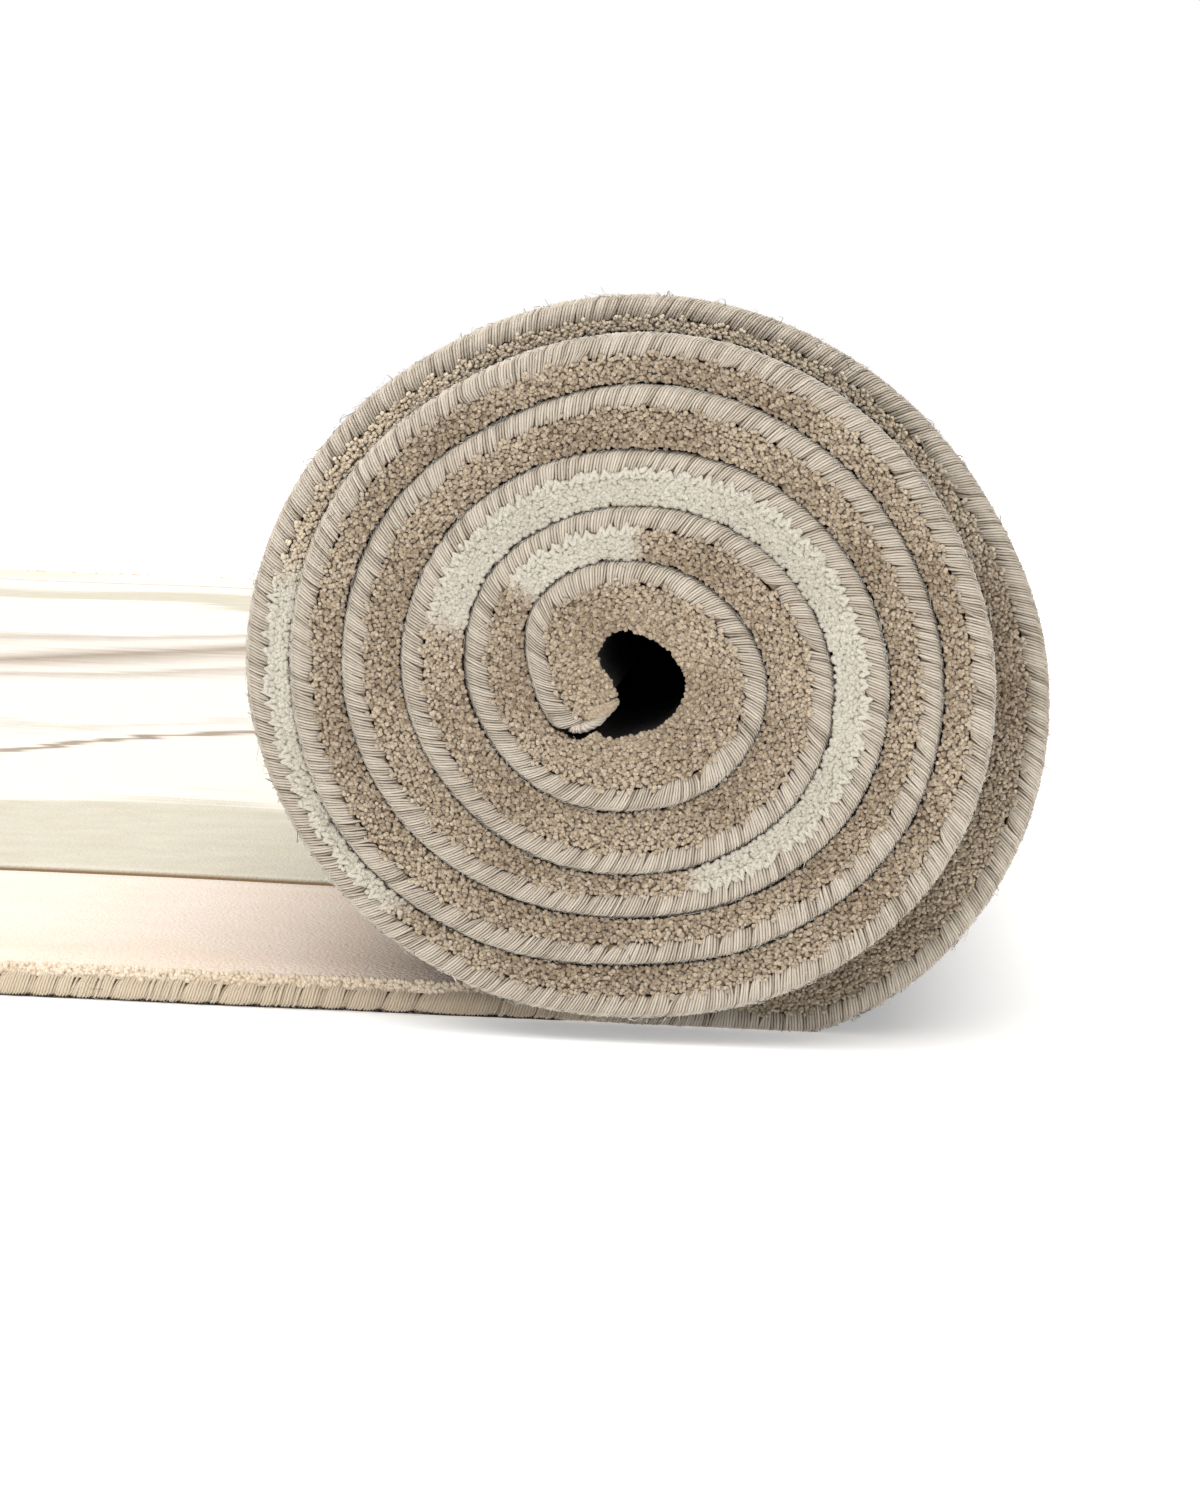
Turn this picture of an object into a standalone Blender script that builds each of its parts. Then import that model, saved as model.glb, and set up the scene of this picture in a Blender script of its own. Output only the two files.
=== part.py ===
"""Rolled up carpet: a tufted wool carpet wound pile inwards, with its last stretch lying flat on the floor.

Blender 4.5, metres, +Z up. The roll lies along Y with its open end towards -Y, and the loose end runs out
towards -X. The origin is the middle of the underside of the whole thing.

The carpet is one sheet of even width. It is described by stations along its length: each station has a point
on the back of the sheet, the direction from there into the pile, and the thickness. Every piece is a loft of
one small section through those stations, so all pieces share one winding.
"""

import math

import bmesh
import bpy

MM = 0.001

# The flat carpet.
CARPET_WIDTH = 2.0  # along the roll
CARPET_LENGTH = 3.0  # along the canvas, from edge to edge
BACKING = 0.9 * MM  # cloth glued on the back
BACKING_RISE = 0.1 * MM  # how far it stays within the canvas hem that frames it
HEM_WIDTH = 6.0 * MM  # canvas turned under along the long edges, level with the back of the sheet
CANVAS_LINE = 1.5 * MM  # depth at which the sheet neither stretches nor shortens as it bends
FREE_THICKNESS = 10.5 * MM  # of the loose end, pile standing
BINDING_HEIGHT = 5.4 * MM  # overcast yarn, measured from the back towards the pile
BINDING_WIDTH = 5.0 * MM  # how far it reaches in from the edge
BINDING_SHARE = 0.62  # most of the sheet's thickness that the binding takes where the sheet is pressed
BINDING_NOSE = 1.2 * MM  # rounding of its outer side
PILE_INSET = 1.4 * MM  # the pile's side stands this far in from the binding's nose
PILE_LEAN = 1.0 * MM  # and leans back this much at its tips
GAP = 0.3 * MM  # between two pieces

# The winding. Seen from the open end, it runs anticlockwise and inwards from the bottom of the outer turn.
CORE_HEIGHT = 88.0 * MM  # of the roll's centre line over the floor
LAYER_GAP = 0.7 * MM  # between the pile and the back of the next turn
STEP = 12  # degrees from station to station
HOUR = 30  # degrees from column to column of the tables

# Distance in mm from the centre line to the back of the sheet, a row for each turn, outermost first, and a
# column for each hour of a clock face, anticlockwise from six: five, four, three and so on, to seven.
TURNS = (
    (88.0, 99.3, 101.6, 99.0, 93.7, 91.8, 92.1, 92.6, 95.3, 95.3, 90.3, 85.1),
    (81.4, 83.2, 85.6, 84.9, 83.1, 82.8, 82.8, 82.8, 85.2, 84.4, 81.3, 74.3),
    (68.6, 70.1, 72.9, 72.6, 71.1, 70.3, 70.5, 70.4, 72.9, 71.6, 67.4, 61.2),
    (57.3, 57.9, 60.0, 59.5, 57.9, 56.2, 55.1, 56.6, 58.1, 57.3, 53.2, 49.5),
    (46.7, 46.7, 47.4, 46.5, 43.9, 42.2, 41.5, 42.8, 44.1, 41.9, 37.9, 34.3),
    (31.2, 30.8, 30.9, 30.4, 28.4, 27.6, 28.3, 30.4, 30.8, 26.1, 23.2, 17.6),
)
INNER_END = 5 * 360 + 306  # degrees wound where the sheet ends, inside the last turn

# Distance in mm from the centre line to the pile that lines the hole, for each hour from seven o'clock of
# the last turn but one to the inner end.
HOLE = (16.1, 13.0, 12.1, 11.5, 11.4, 10.3, 10.3, 11.2, 13.3, 11.9, 7.3, 6.5, 6.9)
HOLE_START = 4 * 360 + 330

# The loose end.
PRESSED_STATIONS = 3  # where the roll hangs over it and holds its pile down
LOOSE_STATIONS = 5  # further ones, evenly spaced to the outer end

# The outer turn was wound askew: the loose end's front edge is set back, and the turn brings it forward.
SET_BACK = 28.0 * MM
SET_BACK_TO = 330  # degrees wound, from which there is no set-back

COLOURS = {
    "carpet": (0.45, 0.38, 0.30, 1.0),
    "backing": (0.10, 0.10, 0.10, 1.0),
    "binding": (0.58, 0.54, 0.46, 1.0),
}


def clear_scene():
    for obj in list(bpy.data.objects):
        bpy.data.objects.remove(obj, do_unlink=True)


def wool(name, colour):
    """A matt yarn or cloth material."""
    material = bpy.data.materials.new(name)
    material.use_nodes = True
    shader = material.node_tree.nodes["Principled BSDF"]
    shader.inputs["Base Color"].default_value = colour
    shader.inputs["Roughness"].default_value = 0.95
    shader.inputs["Metallic"].default_value = 0.0
    return material


def smooth_value(values, place):
    """The value at a fractional place in a list, on a curve that passes through every entry."""
    last = len(values) - 1
    index = min(max(int(place), 0), last - 1)
    part = place - index
    before, start, end, after = (values[min(max(index + k, 0), last)] for k in (-1, 0, 1, 2))
    slope_start, slope_end = (end - before) / 2, (after - start) / 2
    turn = end - start
    return (
        start
        + slope_start * part
        + (3 * turn - 2 * slope_start - slope_end) * part**2
        + (slope_start + slope_end - 2 * turn) * part**3
    )


ALL_HOURS = [radius for turn in TURNS for radius in turn]


def back_radius(wound):
    """Distance from the centre line to the back of the sheet, kept above the floor under the roll."""
    radius = smooth_value(ALL_HOURS, wound / HOUR) * MM
    fall = math.cos(math.radians(wound))
    if wound < 90 and radius * fall > CORE_HEIGHT:
        return CORE_HEIGHT / fall
    return radius


def face_radius(wound):
    """Distance from the centre line to the pile's tips: the next turn's back, or the hole."""
    if wound + 360 <= INNER_END + STEP:
        return back_radius(wound + 360) + LAYER_GAP
    return smooth_value(HOLE, (wound - HOLE_START) / HOUR) * MM


def wound_station(wound):
    """A station of the roll: back point (x, z) from the bottom of the roll, direction into the pile."""
    angle = math.radians(wound - 90)
    out = (math.cos(angle), math.sin(angle))
    radius = back_radius(wound)
    return {
        "back": (radius * out[0], CORE_HEIGHT + radius * out[1]),
        "into": (-out[0], -out[1]),
        "thick": radius - face_radius(wound),
        "wound": wound,
    }


def loose_station(away, thick):
    """A station of the loose end, which lies flat on the floor."""
    return {"back": (-away, 0.0), "into": (0.0, 1.0), "thick": thick, "wound": 0}


def pressed_station(steps):
    """A station of the loose end under the side of the roll, some steps before the bottom."""
    over_x, over_z = wound_station(360 - STEP * steps)["back"]
    return loose_station(-over_x, min(over_z - LAYER_GAP, FREE_THICKNESS))


def canvas_length(stations):
    points = [
        (s["back"][0] + s["into"][0] * CANVAS_LINE, s["back"][1] + s["into"][1] * CANVAS_LINE)
        for s in stations
    ]
    return sum(math.dist(a, b) for a, b in zip(points, points[1:]))


def wound_stations(last):
    """Stations from under the roll to an angle; turns share their directions, so layers stay parallel."""
    angles = list(range(0, last, STEP)) + [last]
    return [wound_station(angle) for angle in angles]


def sheet_stations(short):
    """All stations, from the outer end to the inner end, each end stopping short of the sheet's own end."""
    inner = INNER_END - math.degrees(short / back_radius(INNER_END))
    roll = wound_stations(int(inner))
    loose_length = CARPET_LENGTH - canvas_length(wound_stations(INNER_END))
    knots = [pressed_station(steps) for steps in range(1, PRESSED_STATIONS + 1)]
    start = -knots[-1]["back"][0]
    end = loose_length - short
    for k in range(1, LOOSE_STATIONS + 1):
        knots.append(loose_station(start + (end - start) * k / LOOSE_STATIONS, FREE_THICKNESS))
    return knots[::-1] + roll


def edge_shift(wound):
    """How far the sheet's two edges are moved back along Y at this angle."""
    share = min(wound / SET_BACK_TO, 1.0)
    return SET_BACK * (1 - share * share * (3 - 2 * share))


def binding_height(station):
    return min(BINDING_HEIGHT, BINDING_SHARE * station["thick"])


def carpet_section(station):
    """Pile and canvas, with a hem and a step for the binding at each edge: (distance in, depth)."""
    step = binding_height(station) + GAP
    canvas, side, tips = BINDING_WIDTH + GAP, PILE_INSET, PILE_INSET + PILE_LEAN
    hem = canvas + HEM_WIDTH
    cloth = BACKING_RISE + BACKING + GAP
    front = [(hem, cloth), (hem, 0.0), (canvas, 0.0), (canvas, step), (side, step), (tips, station["thick"])]
    rear = [(CARPET_WIDTH - inset, depth) for inset, depth in reversed(front)]
    return front + rear


def backing_section(_station):
    inset = BINDING_WIDTH + HEM_WIDTH + 2 * GAP
    far = CARPET_WIDTH - inset
    low, high = BACKING_RISE, BACKING_RISE + BACKING
    return [(inset, low), (inset, high), (far, high), (far, low)]


def front_binding_section(station):
    """Yarn oversewn round the edge: flat inner side, rounded nose."""
    high = binding_height(station)
    width = BINDING_WIDTH
    return [(width, 0.0), (BINDING_NOSE, 0.0), (0.0, high / 2), (BINDING_NOSE, high), (width, high)]


def rear_binding_section(station):
    return [(CARPET_WIDTH - inset, depth) for inset, depth in reversed(front_binding_section(station))]


def place(station, origin_x, inset, depth):
    """A point of a section in the object's frame."""
    x = origin_x + station["back"][0] + station["into"][0] * depth
    z = station["back"][1] + station["into"][1] * depth
    y = -(CARPET_WIDTH + SET_BACK) / 2 + edge_shift(station["wound"]) + inset
    return (x, y, z)


def loft(name, rings, material, collection):
    """One closed body through rings of equally many points."""
    mesh = bpy.data.meshes.new(name)
    shape = bmesh.new()
    loops = [[shape.verts.new(point) for point in ring] for ring in rings]
    count = len(loops[0])
    for ring, following in zip(loops, loops[1:]):
        for k in range(count):
            after = (k + 1) % count
            shape.faces.new((ring[k], ring[after], following[after], following[k]))
    shape.faces.new(loops[0][::-1])
    shape.faces.new(loops[-1])
    bmesh.ops.recalc_face_normals(shape, faces=shape.faces[:])
    shape.to_mesh(mesh)
    shape.free()
    mesh.materials.append(material)
    obj = bpy.data.objects.new(name, mesh)
    collection.objects.link(obj)
    return obj


def swept(name, stations, section, origin_x, material, collection):
    """A piece that runs the whole length of the sheet."""
    rings = [[place(s, origin_x, inset, depth) for inset, depth in section(s)] for s in stations]
    return loft(name, rings, material, collection)


def end_binding(name, station_at, origin_x, material, collection):
    """The oversewn edge across one end, between the long bindings; station_at follows the sheet outward."""
    high = binding_height(station_at(0.0))
    nose = BINDING_WIDTH + BINDING_NOSE
    profile = [(GAP, 0.0), (BINDING_WIDTH, 0.0), (nose, high / 2), (BINDING_WIDTH, high), (GAP, high)]
    inset = BINDING_WIDTH + GAP
    rings = [
        [place(station_at(along), origin_x, across, depth) for along, depth in profile]
        for across in (inset, CARPET_WIDTH - inset)
    ]
    return loft(name, rings, material, collection)


def main():
    clear_scene()
    collection = bpy.data.collections.new("rolled_up_carpet")
    bpy.context.scene.collection.children.link(collection)
    materials = {name: wool(name, colour) for name, colour in COLOURS.items()}

    full = sheet_stations(0.0)
    inside = sheet_stations(BINDING_WIDTH + BINDING_NOSE)
    left, right = full[0]["back"][0], max(s["back"][0] for s in full)
    origin_x = -(left + right) / 2

    swept("carpet", inside, carpet_section, origin_x, materials["carpet"], collection)
    swept("backing", inside, backing_section, origin_x, materials["backing"], collection)
    swept("binding_front", full, front_binding_section, origin_x, materials["binding"], collection)
    swept("binding_rear", full, rear_binding_section, origin_x, materials["binding"], collection)

    outer_end, inner_end = -inside[0]["back"][0], inside[-1]["wound"]
    degrees_along = math.degrees(1 / back_radius(inner_end))

    def past_outer_end(along):
        return loose_station(outer_end + along, FREE_THICKNESS)

    def past_inner_end(along):
        return wound_station(inner_end + along * degrees_along)

    end_binding("binding_outer", past_outer_end, origin_x, materials["binding"], collection)
    end_binding("binding_inner", past_inner_end, origin_x, materials["binding"], collection)


main()
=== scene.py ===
"""Looks of the rolled up carpet: oversewn yarn edges, tufted pile, backing cloth, lint and a plain studio.

The carpet is one sheet, wound pile inwards. Every piece is laid on that sheet by three numbers: the distance
along it from its outer end, the inset from its front edge, and the depth from its back into the pile.
"""

import math

import bpy
import numpy as np
from mathutils import Matrix, Vector


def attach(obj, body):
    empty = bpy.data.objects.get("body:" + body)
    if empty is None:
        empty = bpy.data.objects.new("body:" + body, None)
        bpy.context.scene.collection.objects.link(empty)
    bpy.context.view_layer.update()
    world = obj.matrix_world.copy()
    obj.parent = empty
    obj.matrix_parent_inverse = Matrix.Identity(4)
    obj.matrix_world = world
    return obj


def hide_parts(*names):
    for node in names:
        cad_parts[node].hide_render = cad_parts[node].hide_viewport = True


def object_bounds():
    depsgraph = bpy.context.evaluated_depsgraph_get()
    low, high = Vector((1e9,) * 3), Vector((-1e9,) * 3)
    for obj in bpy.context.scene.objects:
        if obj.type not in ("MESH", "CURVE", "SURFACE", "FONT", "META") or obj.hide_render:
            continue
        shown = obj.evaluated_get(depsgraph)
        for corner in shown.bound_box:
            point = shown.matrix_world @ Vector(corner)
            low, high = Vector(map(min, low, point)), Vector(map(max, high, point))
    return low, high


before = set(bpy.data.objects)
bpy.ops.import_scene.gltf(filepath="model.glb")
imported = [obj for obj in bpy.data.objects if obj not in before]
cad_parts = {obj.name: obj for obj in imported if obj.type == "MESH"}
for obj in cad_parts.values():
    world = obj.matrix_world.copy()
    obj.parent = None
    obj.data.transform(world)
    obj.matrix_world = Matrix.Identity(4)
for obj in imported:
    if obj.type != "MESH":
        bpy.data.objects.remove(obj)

bl_info = {
    "name": "Rolled Up Carpet",
    "version": (1, 0, 0),
    "blender": (4, 5, 0),
    "location": "3D View > Sidebar > Carpet",
    "description": "Yarn, pile, backing cloth and studio of a rolled up carpet",
    "category": "Add Mesh",
}

MM = 0.001
CAD_BOX = [list(corner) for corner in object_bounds()]
FRONT, REAR = CAD_BOX[0][1], CAD_BOX[1][1]  # the carpet's foremost and rearmost edge
OUTER_END, RIGHT_SIDE = CAD_BOX[0][0], CAD_BOX[1][0]

# The flat carpet, as the frame's solids have it.
WIDTH = 2.0
BACKING = 0.9 * MM
CANVAS_LINE = 1.5 * MM
FREE_THICKNESS = 10.5 * MM
BINDING_HEIGHT = 5.4 * MM
BINDING_WIDTH = 5.0 * MM
BINDING_SHARE = 0.62
GAP = 0.3 * MM
LOOSE_EDGE = 8.4 * MM  # of the loose end at its long edges, where the pile slopes down to the yarn
BACK_LIFT = 0.2 * MM  # of a strand's middle over the back of the sheet, in the roll
LOOSE_LIFT = 1.0 * MM  # and on the loose end, where the backing cloth shows under it
LEAN = 6.5  # strand pitches that a strand runs askew on its way round the edge
BUNDLE = 5.4  # strands in a bundle
STRAND_BULGE = 0.9 * MM  # how far the middle of a bundle stands out
# A strand's way round the edge at seven even steps: its inset in mm where the roll presses it and where the
# loose end leaves it free, its height as a share of the yarn's, and its width as a share of its fullest.
PRESSED_INSET = (4.6, 2.4, 0.80, 0.10, 0.10, 0.85, 2.60)
FREE_INSET = (4.6, 2.4, 0.60, 0.05, 0.70, 2.10, 3.90)
STRAND_RISE = (0.0, 0.0, 0.05, 0.33, 0.68, 0.95, 1.0)
STRAND_TAPER = ((0, 0.17, 0.33, 0.8, 0.92, 1), (0.7, 0.95, 1.0, 1.0, 0.85, 0.45))
STRAND_TIP_SHADE = ((0, 0.2, 0.35, 0.72, 0.86, 1.0), (0.4, 0.1, 0.0, 0.0, 0.4, 1.0))  # how much brown painted shade it takes on its way, most where it dives into the pile
STRAND_SIDES = 4
FRONT_CUTS = 4  # cuts across each strand of the front edge
END_CUTS = 3  # and of the other edges
CORE_STEP = 4.0 * MM  # between the stations of the edge that they go round
ON_FLOOR = 0.03 * MM  # what lies on the floor is pressed flat at this height

# The winding, as the frame's solids have it: distance in mm from the centre line to the back of the sheet,
# a row for each turn from the outermost, a column for each hour of a clock face, anticlockwise from six.
CORE_HEIGHT = 88.0 * MM
LAYER_GAP = 0.7 * MM
STEP = 12
HOUR = 30
TURNS = (
    (88.0, 99.3, 101.6, 99.0, 93.7, 91.8, 92.1, 92.6, 95.3, 95.3, 90.3, 85.1),
    (81.4, 83.2, 85.6, 84.9, 83.1, 82.8, 82.8, 82.8, 85.2, 84.4, 81.3, 74.3),
    (68.6, 70.1, 72.9, 72.6, 71.1, 70.3, 70.5, 70.4, 72.9, 71.6, 67.4, 61.2),
    (57.3, 57.9, 60.0, 59.5, 57.9, 56.2, 55.1, 56.6, 58.1, 57.3, 53.2, 49.5),
    (46.7, 46.7, 47.4, 46.5, 43.9, 42.2, 41.5, 42.8, 44.1, 41.9, 37.9, 34.3),
    (31.2, 30.8, 30.9, 30.4, 28.4, 27.6, 28.3, 30.4, 30.8, 26.1, 23.2, 17.6),
)
INNER_END = 5 * 360 + 306
FAN_RADIUS = 6.4 * MM  # of the strands that turn round the sheet's inner end
FAN_DEPTH = 6.6 * MM  # of the middle that they turn round
FAN_START, FAN_ANGLE = 0.12, 2.4  # radians from which and to which they turn
HOLE = (16.1, 13.0, 12.1, 11.5, 11.4, 10.3, 10.3, 11.2, 13.3, 11.9, 7.3, 6.5, 6.9)
HOLE_START = 4 * 360 + 330
SET_BACK = 28.0 * MM
SET_BACK_TO = 330
PRESSED_FROM = 312  # degrees wound, from which the outer turn hangs over the loose end
PAST_END = 24  # degrees that the stations run on past the inner end, for what is rounded over it
WOUND_STEP = 3  # degrees between the fine stations of the roll
LOOSE_STEP = 6.0 * MM  # and the distance between those of the loose end

# Where the front edge's pile is cream and not beige-brown, in degrees wound.
CREAM_RUNS = ((255, 315), (1097, 1337), (1623, 1675))
RUN_BLEND = 7  # degrees over which the colour changes
TOOTH_PITCH = 3.2 * MM  # between the teeth that the cream pile makes over the yarn
TOOTH_WIDTH = 1.9 * MM
MOST_ROWS = 26  # of tufts, one over another
OUTER_PILE_PAINTED_LIGHT = 0.85  # painted light: how much lighter the outer turn's pile is, as a share of its range of shades
TONGUE_TUFTS = 420  # that round off the pile over the sheet's inner end
CLUMP_REACH = 1.3 * MM  # how far clumps of tufts stand over the yarn

# The carved line that borders the field.
LINE_INSET = 165.0 * MM
END_LINE_INSET = 150.0 * MM  # across the two ends of the sheet
LINE_HALF_WIDTH = 6.5 * MM
LINE_DEPTH = 4.2 * MM
LINE_STATIONS = (-2.5, -1.0, -0.5, 0.0, 0.5, 1.0, 2.5)  # from its middle, in half widths

TUFT_PIECES = (0.47, 0.74)  # shares of the sheet's length at which the front edge's tufts are parted
LINT_IN_GAPS = 0.72  # share of the lint that lies between the turns
LINT_ON_PILE = 0.1  # share that lies on the pile
LINT_ON_OUTLINE = 0.3  # share of the rest that stands out of the outermost turn's back
LINT_STRAY = 0.004  # share of long dark hairs


def linear(hex_colour):
    """An sRGB hex colour as linear red, green, blue and alpha."""
    parts = [int(hex_colour[k : k + 2], 16) / 255 for k in (1, 3, 5)]
    return [c / 12.92 if c <= 0.04045 else ((c + 0.055) / 1.055) ** 2.4 for c in parts] + [1.0]


def deselect():
    bpy.ops.object.select_all(action="DESELECT")


# ---------------------------------------------------------------- the sheet


def smooth_value(values, places):
    """Values at fractional places of a list, on a curve that passes through every entry."""
    values = np.asarray(values, float)
    last = len(values) - 1
    index = np.clip(places.astype(int), 0, last - 1)
    part = places - index
    before, start, end, after = (values[np.clip(index + k, 0, last)] for k in (-1, 0, 1, 2))
    slope_start, slope_end, turn = (end - before) / 2, (after - start) / 2, end - start
    bend = 3 * turn - 2 * slope_start - slope_end
    return start + slope_start * part + bend * part**2 + (slope_start + slope_end - 2 * turn) * part**3


def back_radius(wound):
    radius = smooth_value([r for turn in TURNS for r in turn], wound / HOUR) * MM
    fall = np.cos(np.radians(wound))
    on_floor = (wound < 90) & (radius * fall > CORE_HEIGHT)
    return np.where(on_floor, CORE_HEIGHT / np.maximum(fall, 0.1), radius)


def face_radius(wound):
    next_turn = back_radius(wound + 360) + LAYER_GAP
    hole = smooth_value(HOLE, (wound - HOLE_START) / HOUR) * MM
    return np.where(wound + 360 <= INNER_END + STEP, next_turn, hole)


def wound_points(wound):
    """Back point and direction out of the roll, seen from the centre line's foot on the floor."""
    angle = np.radians(wound - 90)
    out = np.cos(angle), np.sin(angle)
    radius = back_radius(wound)
    return radius * out[0], CORE_HEIGHT + radius * out[1], out


def sheet_columns():
    """The sheet as columns of numbers, one entry for each station from the outer end to the inner end."""
    wound = np.arange(0.0, INNER_END + PAST_END + 1, WOUND_STEP)
    x, z, out = wound_points(wound)
    centre = RIGHT_SIDE - x.max()
    over_x, over_z, _ = wound_points(np.arange(PRESSED_FROM, 361.0))
    steps = int((centre - OUTER_END) / LOOSE_STEP)
    loose_x = np.linspace(OUTER_END - centre, 0, steps, endpoint=False)
    loose_thick = np.minimum(np.interp(loose_x, over_x, over_z, left=1.0) - LAYER_GAP, FREE_THICKNESS)
    flat = np.zeros_like(loose_x)
    columns = {
        "x": np.concatenate([loose_x, x]),
        "z": np.concatenate([flat, z]),
        "into_x": np.concatenate([flat, -out[0]]),
        "into_z": np.concatenate([flat + 1, -out[1]]),
        "thick": np.concatenate([loose_thick, back_radius(wound) - face_radius(wound)]),
        "wound": np.concatenate([flat, wound]),
    }
    canvas_x = columns["x"] + columns["into_x"] * CANVAS_LINE
    canvas_z = columns["z"] + columns["into_z"] * CANVAS_LINE
    along = np.concatenate([[0], np.cumsum(np.hypot(np.diff(canvas_x), np.diff(canvas_z)))])
    columns["x"] = columns["x"] + centre
    return along, columns, centre


ALONG, COLUMNS, CENTRE = sheet_columns()
SHEET_END = float(np.interp(INNER_END, COLUMNS["wound"], ALONG))
ROLL_START = float(np.interp(0.001, COLUMNS["wound"], ALONG))
# From here on the pile lines the hole.
HOLE_ALONG = float(np.interp(INNER_END - 360, COLUMNS["wound"], ALONG))


def edge_wave(along):
    """How the sheet's edges wander: the beat of the sewing and a slower drift."""
    slow = np.sin(along * 2 * math.pi / 0.173 + 1.0)
    quick = np.sin(along * 2 * math.pi / 0.061 + 2.3)
    return (0.45 * slow + 0.25 * quick) * MM


def on_sheet(along, inset, depth):
    """Points of the object's frame; all three arguments are arrays of one shape."""
    at = {name: np.interp(along, ALONG, column) for name, column in COLUMNS.items()}
    share = np.minimum(at["wound"] / SET_BACK_TO, 1.0)
    shift = SET_BACK * (1 - share * share * (3 - 2 * share)) + edge_wave(along)
    x = at["x"] + at["into_x"] * depth
    z = at["z"] + at["into_z"] * depth
    return np.stack([x, FRONT + shift + inset, z], axis=-1)


def thickness(along):
    return np.interp(along, ALONG, COLUMNS["thick"])


def binding_height(along):
    return np.minimum(BINDING_HEIGHT, BINDING_SHARE * thickness(along))


def cream_share(along):
    """1 where the edge's pile is cream, 0 where it is beige-brown."""
    wound = np.interp(along, ALONG, COLUMNS["wound"])
    share = np.clip((ROLL_START - 0.012 - along) / 0.03, 0, 1)
    for start, end in CREAM_RUNS:
        inside = np.minimum(wound - start, end - wound) / RUN_BLEND + 0.5
        share = np.maximum(share, np.clip(inside, 0, 1))
    return share


# ---------------------------------------------------------------- meshes


def mesh_piece(name, points, faces, material, values=None):
    """One object from points and faces of equally many corners, with a value for each point by name."""
    faces = np.asarray(faces, dtype=np.int32)
    mesh = bpy.data.meshes.new(name)
    mesh.vertices.add(len(points))
    mesh.vertices.foreach_set("co", np.asarray(points, dtype=np.float32).ravel())
    mesh.loops.add(faces.size)
    mesh.loops.foreach_set("vertex_index", faces.ravel())
    mesh.polygons.add(len(faces))
    mesh.polygons.foreach_set("loop_start", np.arange(0, faces.size, faces.shape[1], dtype=np.int32))
    mesh.update(calc_edges=True)
    mesh.validate()
    for label, numbers in (values or {}).items():
        attribute = mesh.attributes.new(label, "FLOAT", "POINT")
        attribute.data.foreach_set("value", np.asarray(numbers, dtype=np.float32).ravel())
    mesh.shade_smooth()
    mesh.materials.append(material)
    piece = bpy.data.objects.new(name, mesh)
    bpy.context.scene.collection.objects.link(piece)
    return piece


def tube_faces(rows, around):
    """Quads of a tube of rings, row by row."""
    row, k = np.meshgrid(np.arange(rows - 1), np.arange(around), indexing="ij")
    after = (k + 1) % around
    corners = [row * around + k, row * around + after, (row + 1) * around + after, (row + 1) * around + k]
    return np.stack(corners, axis=-1).reshape(-1, 4)


def face_out(piece):
    """Turns every face of a closed piece outwards."""
    deselect()
    piece.select_set(True)
    bpy.context.view_layer.objects.active = piece
    bpy.ops.object.mode_set(mode="EDIT")
    bpy.ops.mesh.select_all(action="SELECT")
    bpy.ops.mesh.normals_make_consistent(inside=False)
    bpy.ops.object.mode_set(mode="OBJECT")
    deselect()


def taken_shape():
    """Points and faces of the object just modelled, which is then removed."""
    shape = bpy.context.active_object
    mesh = shape.data
    points = np.array([v.co for v in mesh.vertices])
    faces = np.array([list(p.vertices) for p in mesh.polygons])
    bpy.data.objects.remove(shape)
    return points, faces


def long_edges_cut(cuts):
    """Cuts the edges of the tube in edit mode that run along it into shorter ones."""
    shape = bpy.context.active_object
    bpy.ops.mesh.select_mode(type="EDGE")
    bpy.ops.mesh.select_all(action="DESELECT")
    bpy.ops.object.mode_set(mode="OBJECT")
    for edge in shape.data.edges:
        low, high = (shape.data.vertices[v].co.z for v in edge.vertices)
        edge.select = abs(low - high) > 0.5
    bpy.ops.object.mode_set(mode="EDIT")
    bpy.ops.mesh.subdivide(number_cuts=cuts)


def bar_shape(sides, cuts):
    """A straight bar of unit length and width along Z from the origin, cut into short lengths."""
    deselect()
    bpy.ops.mesh.primitive_cylinder_add(vertices=sides, radius=0.5, depth=1, location=(0, 0, 0.5))
    bpy.ops.object.transform_apply(location=True, rotation=True, scale=True)
    bpy.ops.object.mode_set(mode="EDIT")
    long_edges_cut(cuts)
    bpy.ops.object.mode_set(mode="OBJECT")
    return taken_shape()


def drop_shape():
    """A tuft's tip: a six-sided point that smooth shading rounds, with its root drawn in below."""
    deselect()
    place = (0, 0, 0.5)
    bpy.ops.mesh.primitive_cone_add(vertices=6, radius1=1, depth=1, end_fill_type="TRIFAN", location=place)
    bpy.ops.object.transform_apply(location=True, rotation=True, scale=True)
    shape = bpy.context.active_object
    bpy.ops.object.mode_set(mode="EDIT")
    bpy.ops.mesh.select_mode(type="VERT")
    bpy.ops.mesh.select_all(action="DESELECT")
    bpy.ops.object.mode_set(mode="OBJECT")
    for vertex in shape.data.vertices:
        vertex.select = vertex.co.z < 0.1 and math.hypot(vertex.co.x, vertex.co.y) < 0.1
    bpy.ops.object.mode_set(mode="EDIT")
    bpy.ops.transform.translate(value=(0, 0, -1.1))
    bpy.ops.object.mode_set(mode="OBJECT")
    return taken_shape()


def unit(vectors):
    return vectors / np.linalg.norm(vectors, axis=-1, keepdims=True)


def repeated(faces, points_each, count):
    """The faces of many copies of one shape in one mesh."""
    return (faces[None] + (np.arange(count) * points_each)[:, None, None]).reshape(-1, faces.shape[1])


# ---------------------------------------------------------------- materials


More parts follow.
